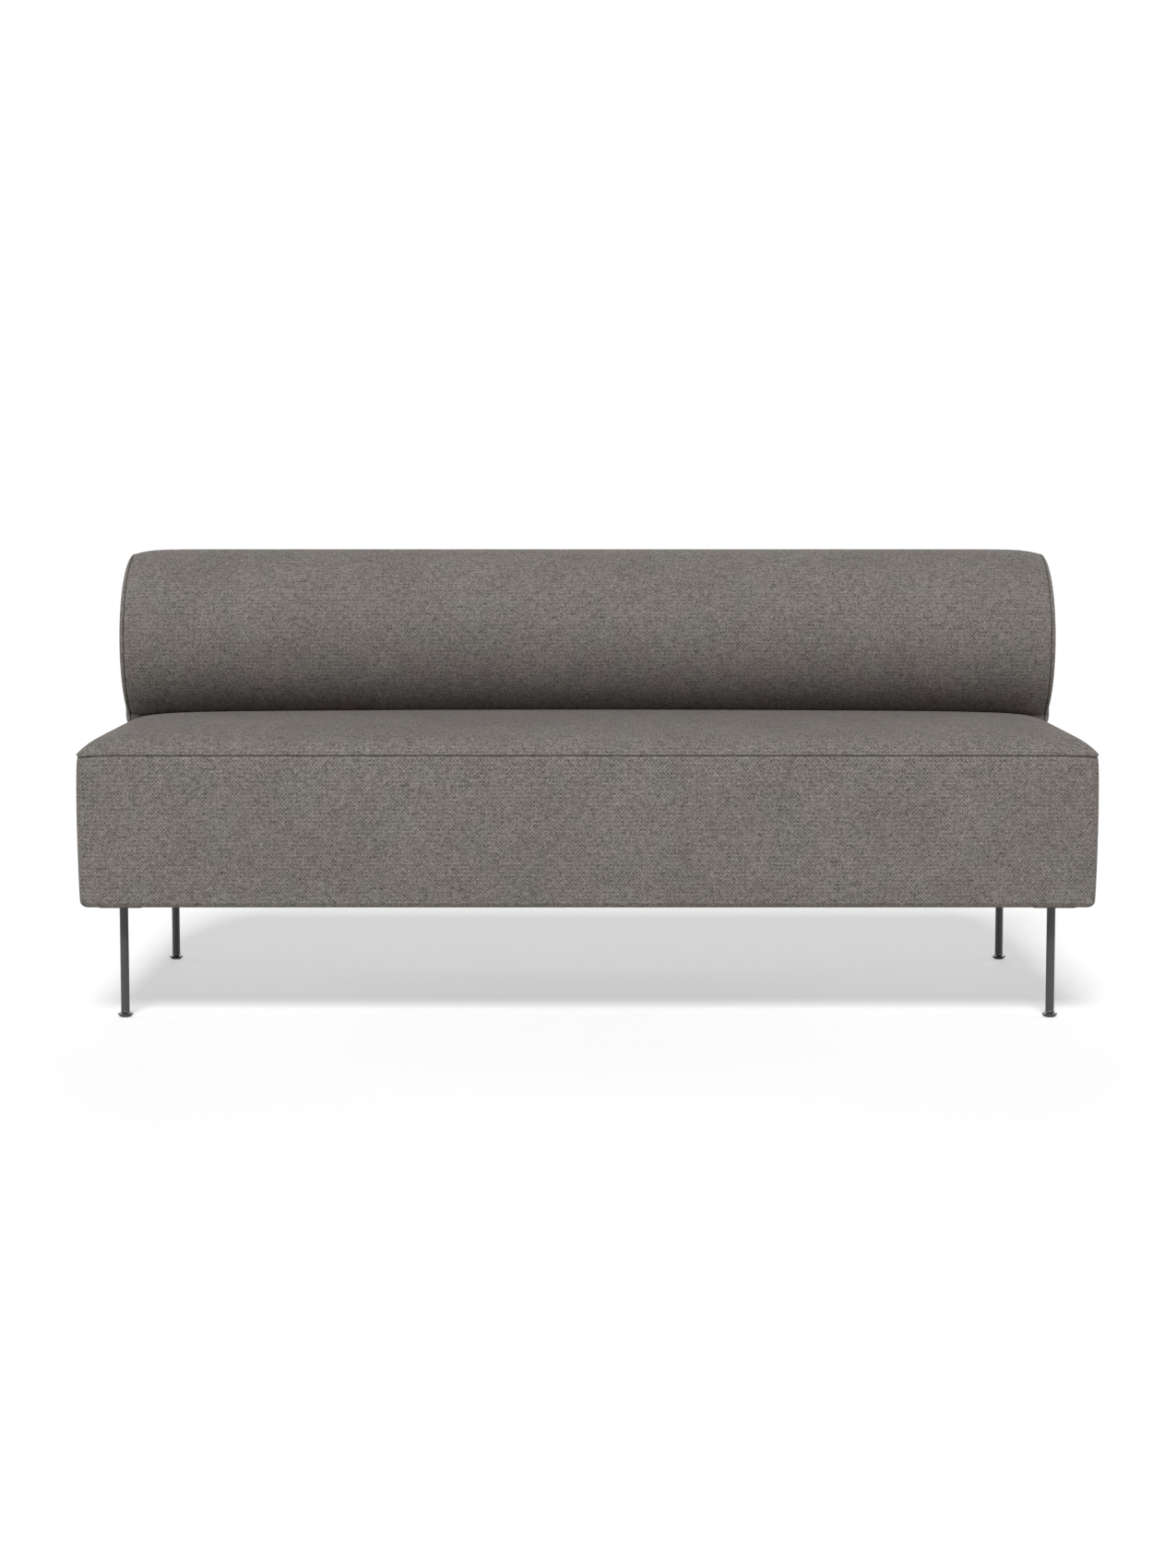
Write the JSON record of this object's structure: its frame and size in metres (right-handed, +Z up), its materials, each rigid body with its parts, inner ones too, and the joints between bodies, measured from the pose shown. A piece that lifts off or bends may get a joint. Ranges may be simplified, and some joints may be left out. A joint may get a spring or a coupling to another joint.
{
  "type": "dining sofa",
  "caption": "Armless dining sofa with a box seat, a full-length round back roll, thin round steel legs and screw-in levelling feet.",
  "frame": {"origin": "on the floor, under the middle of the seat", "axes": "+X along the sofa, -Y towards the front, +Z up"},
  "size_m": [1.6452, 0.6852, 0.752],
  "materials": {
    "seat_fabric": "coarse heathered weave, taupe grey",
    "foam": "cut upholstery foam, cream",
    "wadding": "white polyester wadding",
    "spring_felt": "grey needle felt",
    "dust_cloth": "black non-woven cloth",
    "timber": "planed beech, unfinished",
    "plywood": "sawn plywood",
    "board": "bent fibre board",
    "spring_steel": "oiled spring wire",
    "zinc_steel": "zinc plated",
    "leg_steel": "dark grey satin powder coat",
    "foot_plastic": "dark grey moulded plastic",
    "clip_plastic": "natural nylon"
  },
  "bodies": {
    "sofa": {"front_rail": "timber", "rear_rail": "timber", "side_rail_left": "timber", "side_rail_right": "timber", "rail_dowels": "timber", "cross_rails": "timber", "corner_blocks": "timber", "seat_springs": "spring_steel", "spring_clips": "clip_plastic", "spring_felt": "spring_felt", "seat_core_foam": "foam", "seat_top_foam": "foam", "seat_wadding": "wadding", "border_pad_front": "foam", "border_pad_rear": "foam", "border_pad_left": "foam", "border_pad_right": "foam", "seat_top_cover": "seat_fabric", "seat_border_cover": "seat_fabric", "dust_cover": "dust_cloth", "back_posts": "timber", "back_bolts": "zinc_steel", "back_tee_nuts": "zinc_steel", "back_top_batten": "timber", "back_front_batten": "timber", "back_base_battens": "timber", "back_formers": "plywood", "back_end_formers": "plywood", "back_board": "board", "back_foam": "foam", "back_wadding": "wadding", "back_front_cover": "seat_fabric", "back_rear_cover": "seat_fabric", "back_end_pad_left": "foam", "back_end_pad_right": "foam", "back_end_cover_left": "seat_fabric", "back_end_cover_right": "seat_fabric", "leg_plates": "leg_steel", "leg_plate_screws": "zinc_steel", "foot_bushes": "zinc_steel", "leg_front_left": "leg_steel", "leg_front_right": "leg_steel", "leg_rear_left": "leg_steel", "leg_rear_right": "leg_steel"},
    "foot_front_left": {"foot_pad_front_left": "foot_plastic"},
    "screw_front_left": {"foot_screw_front_left": "leg_steel"},
    "foot_front_right": {"foot_pad_front_right": "foot_plastic"},
    "screw_front_right": {"foot_screw_front_right": "leg_steel"},
    "foot_rear_left": {"foot_pad_rear_left": "foot_plastic"},
    "screw_rear_left": {"foot_screw_rear_left": "leg_steel"},
    "foot_rear_right": {"foot_pad_rear_right": "foot_plastic"},
    "screw_rear_right": {"foot_screw_rear_right": "leg_steel"}
  },
  "joints": [
    {"name": "level_front_left", "type": "slide", "parent": "sofa", "child": "foot_front_left", "axis": [0, 0, -1], "range_m": [0, 0.01]},
    {"name": "turn_front_left", "type": "hinge", "parent": "foot_front_left", "child": "screw_front_left", "pos_m": [-0.755, -0.275, 0], "axis": [0, 0, -1], "range_deg": [0, 2880]},
    {"name": "level_front_right", "type": "slide", "parent": "sofa", "child": "foot_front_right", "axis": [0, 0, -1], "range_m": [0, 0.01]},
    {"name": "turn_front_right", "type": "hinge", "parent": "foot_front_right", "child": "screw_front_right", "pos_m": [0.755, -0.275, 0], "axis": [0, 0, -1], "range_deg": [0, 2880]},
    {"name": "level_rear_left", "type": "slide", "parent": "sofa", "child": "foot_rear_left", "axis": [0, 0, -1], "range_m": [0, 0.01]},
    {"name": "turn_rear_left", "type": "hinge", "parent": "foot_rear_left", "child": "screw_rear_left", "pos_m": [-0.755, 0.275, 0], "axis": [0, 0, -1], "range_deg": [0, 2880]},
    {"name": "level_rear_right", "type": "slide", "parent": "sofa", "child": "foot_rear_right", "axis": [0, 0, -1], "range_m": [0, 0.01]},
    {"name": "turn_rear_right", "type": "hinge", "parent": "foot_rear_right", "child": "screw_rear_right", "pos_m": [0.755, 0.275, 0], "axis": [0, 0, -1], "range_deg": [0, 2880]}
  ],
  "couplings": [
    {"joint": "turn_front_left", "follows": "level_front_left", "rad_per_m": 5026.5},
    {"joint": "turn_front_right", "follows": "level_front_right", "rad_per_m": 5026.5},
    {"joint": "turn_rear_left", "follows": "level_rear_left", "rad_per_m": 5026.5},
    {"joint": "turn_rear_right", "follows": "level_rear_right", "rad_per_m": 5026.5}
  ]
}
